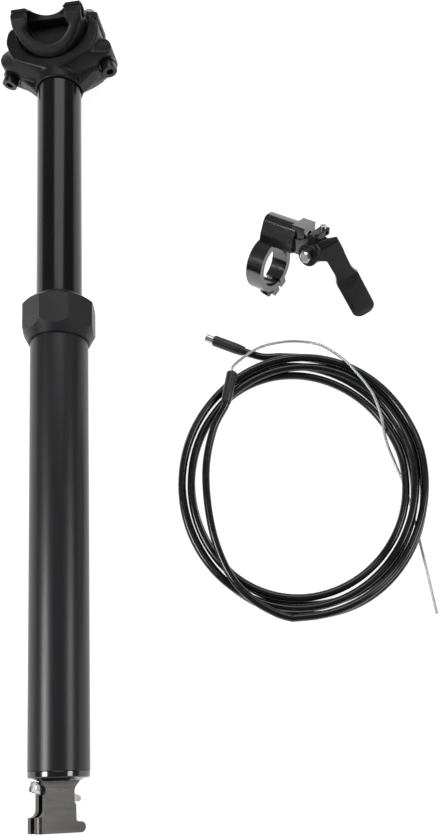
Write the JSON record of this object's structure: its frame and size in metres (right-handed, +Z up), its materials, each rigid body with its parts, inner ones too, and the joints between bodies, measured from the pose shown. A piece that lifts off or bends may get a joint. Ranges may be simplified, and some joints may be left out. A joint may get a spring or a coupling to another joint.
{
  "type": "dropper seatpost",
  "caption": "Telescoping bicycle seatpost with forged two-bolt saddle head, collar and cable-released foot, with its bar remote and coiled control cable.",
  "frame": {"origin": "on the post's axis at the lower rim of the collar, where the frame's seat tube would end", "axes": "+Y along the laid-down post towards the saddle, +Z up from the table, +X from the post towards the remote"},
  "size_m": [0.2351, 0.4637, 0.0634],
  "materials": {
    "tube_anodised": "satin black anodised",
    "collar_anodised": "satin black anodised",
    "stanchion_gloss": "gloss black hard anodised",
    "head_forged": "satin black on forged metal",
    "foot_gloss": "gloss black",
    "bracket_brushed": "brushed",
    "rocker_polished": "polished",
    "steel": "ground",
    "steel_bright": "bright",
    "aluminium": "machined",
    "bush_metal": "bearing bronze",
    "brass": "machined",
    "rubber": "matte",
    "bolt_black": "black oxide",
    "remote_gloss": "gloss black",
    "lever_satin": "satin black",
    "boot_plastic": "satin black",
    "housing": "gloss black",
    "wire_steel": "stranded steel"
  },
  "bodies": {
    "lower_post": {"outer_tube": "tube_anodised", "collar_nut": "collar_anodised", "wiper_seal": "rubber", "upper_bushing": "bush_metal", "foot_cap": "foot_gloss", "cartridge_rod": "steel", "cartridge_piston": "aluminium", "actuator_bracket": "bracket_brushed", "rocker_pin": "steel", "remote_clamp": "remote_gloss", "band_bolt": "bolt_black", "pivot_bolt": "steel_bright", "pivot_bush": "brass", "cable_head": "steel_bright", "lead_boot": "boot_plastic", "housing_lead": "housing", "housing_coil": "housing", "housing_tail": "housing", "tail_boot": "boot_plastic", "inner_wire": "wire_steel"},
    "upper_post": {"stanchion": "stanchion_gloss", "post_head": "head_forged", "lower_bushing": "bush_metal", "guide_keys": "brass", "cartridge_cylinder": "aluminium", "rod_gland": "aluminium", "cartridge_retainer": "aluminium", "clamp_bolts": "bolt_black", "bolt_washers": "bolt_black"},
    "saddle_clamp": {"lower_cradle": "head_forged", "upper_clamp": "head_forged", "barrel_nuts": "steel"},
    "release_rocker": {"release_rocker": "rocker_polished"},
    "release_pin": {"release_pin": "steel"},
    "remote_lever": {"remote_lever": "lever_satin", "thumb_pad": "rubber", "pinch_screw": "steel_bright"}
  },
  "joints": [
    {"name": "post_drop", "type": "slide", "parent": "lower_post", "child": "upper_post", "axis": [0, -0.9994, -0.0332], "range_m": [0, 0.125], "stiffness_N_per_m": 60, "springref_m": -2.2},
    {"name": "saddle_tilt", "type": "hinge", "parent": "upper_post", "child": "saddle_clamp", "pos_m": [0, 0.1874, 0.00623], "axis": [0.1564, 0.0328, -0.9871], "range_deg": [-5, 5]},
    {"name": "rocker_turn", "type": "hinge", "parent": "lower_post", "child": "release_rocker", "pos_m": [-0.00473, -0.24024, -0.00882], "axis": [0.5736, -0.0272, 0.8187], "range_deg": [0, 15.5]},
    {"name": "pin_lift", "type": "slide", "parent": "lower_post", "child": "release_pin", "axis": [0, 0.9994, 0.0332], "range_m": [0, 0.00089], "stiffness_N_per_m": 20, "springref_m": -0.002},
    {"name": "lever_push", "type": "hinge", "parent": "lower_post", "child": "remote_lever", "pos_m": [0.13834, 0.03968, 0.01909], "axis": [0.6363, 0.6453, -0.4226], "range_deg": [0, 20]}
  ],
  "couplings": [
    {"joint": "rocker_turn", "follows": "pin_lift", "rad_per_m": 294}
  ]
}
